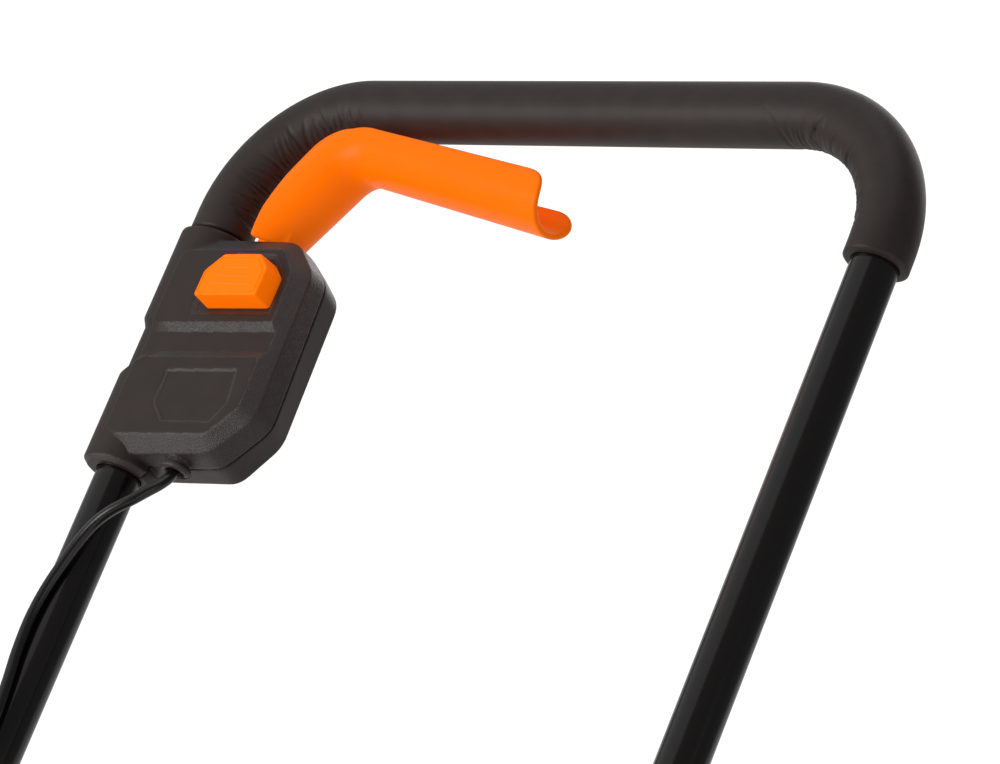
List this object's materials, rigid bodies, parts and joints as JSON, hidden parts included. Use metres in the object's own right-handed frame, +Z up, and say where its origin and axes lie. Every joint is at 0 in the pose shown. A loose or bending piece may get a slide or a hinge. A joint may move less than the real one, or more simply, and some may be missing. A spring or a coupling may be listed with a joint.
{
  "type": "push lawn mower",
  "caption": "Walk-behind cordless lawn mower with a folding foam-covered U handle, switch box with a lock-off button, bail lever, cutting deck and rear grass box.",
  "frame": {"origin": "on the ground under the middle of the mower's overall length and width", "axes": "+Z up, -Y the way it mows, +Y towards whoever pushes it, +X the pusher's left as they face the mower's front (-Y)"},
  "size_m": [0.525, 1.0819, 1.002],
  "materials": {
    "black_tube": "gloss black powder coat on steel tube",
    "foam": "matt closed-cell foam with a soft sheen, wrinkled inside the bends",
    "dark_plastic": "spark-eroded dark brown-black moulding",
    "orange_plastic": "satin orange moulding",
    "steel": "zinc-plated or ground steel",
    "black_rubber": "matt black rubber and moulded grips",
    "cable_black": "glossy black cable sheath",
    "orange_deck": "glossy orange moulded deck",
    "green_board": "circuit board laminate"
  },
  "bodies": {
    "root": {"deck_shell": "orange_deck", "motor_hood": "dark_plastic", "battery_tray": "dark_plastic", "battery_pack": "black_rubber", "control_board": "green_board", "board_post_left": "dark_plastic", "board_post_right": "dark_plastic", "motor": "steel", "upper_bearing": "steel", "lower_bearing": "steel", "front_axle": "steel", "rear_axle": "steel", "handle_bracket_left": "steel", "handle_bracket_right": "steel", "bracket_knob_left": "black_rubber", "bracket_knob_right": "black_rubber", "lower_handle_left": "black_tube", "lower_handle_right": "black_tube", "fold_bolt_left": "steel", "fold_bolt_right": "steel", "cable_clip_lower": "black_rubber", "power_cable": "cable_black", "flap_lug_left": "dark_plastic", "flap_lug_right": "dark_plastic", "flap_pin": "steel", "lid_pin": "steel"},
    "upper_handle": {"upper_handle_tube": "black_tube", "foam_grip": "foam", "switch_box_front": "dark_plastic", "switch_box_rear": "dark_plastic", "lever_pivot_pin": "steel", "lever_return_spring": "steel", "micro_switch": "black_rubber", "button_spring": "steel", "cable_grommet": "black_rubber", "cable_clip_upper": "black_rubber"},
    "bail": {"bail_lever": "orange_plastic"},
    "button": {"lock_button": "orange_plastic"},
    "cam_left": {"fold_cam_left": "orange_plastic"},
    "cam_right": {"fold_cam_right": "orange_plastic"},
    "rotor": {"motor_shaft": "steel", "blade_hub": "dark_plastic", "blade": "steel", "blade_bolt": "steel"},
    "battery_cover": {"battery_lid": "orange_plastic"},
    "discharge_flap": {"rear_flap": "dark_plastic"},
    "grass_box": {"grass_box_tub": "dark_plastic", "grass_box_lid": "dark_plastic"},
    "fill_indicator": {"level_flap": "orange_plastic"},
    "wheel_front_left": {"hub_front_left": "dark_plastic", "tyre_front_left": "black_rubber"},
    "wheel_front_right": {"hub_front_right": "dark_plastic", "tyre_front_right": "black_rubber"},
    "wheel_rear_left": {"hub_rear_left": "dark_plastic", "tyre_rear_left": "black_rubber"},
    "wheel_rear_right": {"hub_rear_right": "dark_plastic", "tyre_rear_right": "black_rubber"}
  },
  "joints": [
    {"name": "handle_fold", "type": "hinge", "parent": "root", "child": "upper_handle", "pos_m": [0, 0.23094, 0.54924], "axis": [-1, 0, 0], "range_deg": [-135, 0], "deforming": ["power_cable"]},
    {"name": "bail_squeeze", "type": "hinge", "parent": "upper_handle", "child": "bail", "pos_m": [-0.188, 0.46463, 0.89702], "axis": [0, -0.83, 0.5577], "range_deg": [0, 10.5], "stiffness_Nm_per_rad": 0.6, "springref_deg": -20.05, "deforming": ["lever_return_spring"]},
    {"name": "lock_press", "type": "slide", "parent": "upper_handle", "child": "button", "axis": [0, 0.83, -0.5577], "range_m": [0, 0.005], "stiffness_N_per_m": 600, "springref_m": -0.004, "deforming": ["button_spring"]},
    {"name": "cam_left_open", "type": "hinge", "parent": "root", "child": "cam_left", "pos_m": [-0.23468, 0.23094, 0.54924], "axis": [0, 0.83, -0.5577], "range_deg": [0, 150]},
    {"name": "cam_right_open", "type": "hinge", "parent": "root", "child": "cam_right", "pos_m": [0.23468, 0.23094, 0.54924], "axis": [0, -0.83, 0.5577], "range_deg": [0, 150]},
    {"name": "wheel_front_left_spin", "type": "hinge", "parent": "root", "child": "wheel_front_left", "pos_m": [-0.2435, -0.45595, 0.085], "axis": [1, 0, 0], "continuous": true},
    {"name": "wheel_front_right_spin", "type": "hinge", "parent": "root", "child": "wheel_front_right", "pos_m": [0.2435, -0.45595, 0.085], "axis": [1, 0, 0], "continuous": true},
    {"name": "wheel_rear_left_spin", "type": "hinge", "parent": "root", "child": "wheel_rear_left", "pos_m": [-0.2435, -0.00595, 0.1], "axis": [1, 0, 0], "continuous": true},
    {"name": "wheel_rear_right_spin", "type": "hinge", "parent": "root", "child": "wheel_rear_right", "pos_m": [0.2435, -0.00595, 0.1], "axis": [1, 0, 0], "continuous": true},
    {"name": "blade_spin", "type": "hinge", "parent": "root", "child": "rotor", "pos_m": [0, -0.24095, 0.2], "axis": [0, 0, 1], "continuous": true},
    {"name": "battery_lid_open", "type": "hinge", "parent": "root", "child": "battery_cover", "pos_m": [0, -0.17245, 0.306], "axis": [1, 0, 0], "range_deg": [0, 85]},
    {"name": "rear_flap_lift", "type": "hinge", "parent": "root", "child": "discharge_flap", "pos_m": [0, 0.01605, 0.234], "axis": [1, 0, 0], "range_deg": [0, 50], "stiffness_Nm_per_rad": 0.4, "springref_deg": -34.38},
    {"name": "grass_box_pull", "type": "slide", "parent": "root", "child": "grass_box", "axis": [0, 1, 0], "range_m": [0, 0.15]},
    {"name": "fill_indicator_lift", "type": "hinge", "parent": "grass_box", "child": "fill_indicator", "pos_m": [0, 0.30155, 0.4045], "axis": [1, 0, 0], "range_deg": [0, 35]}
  ]
}
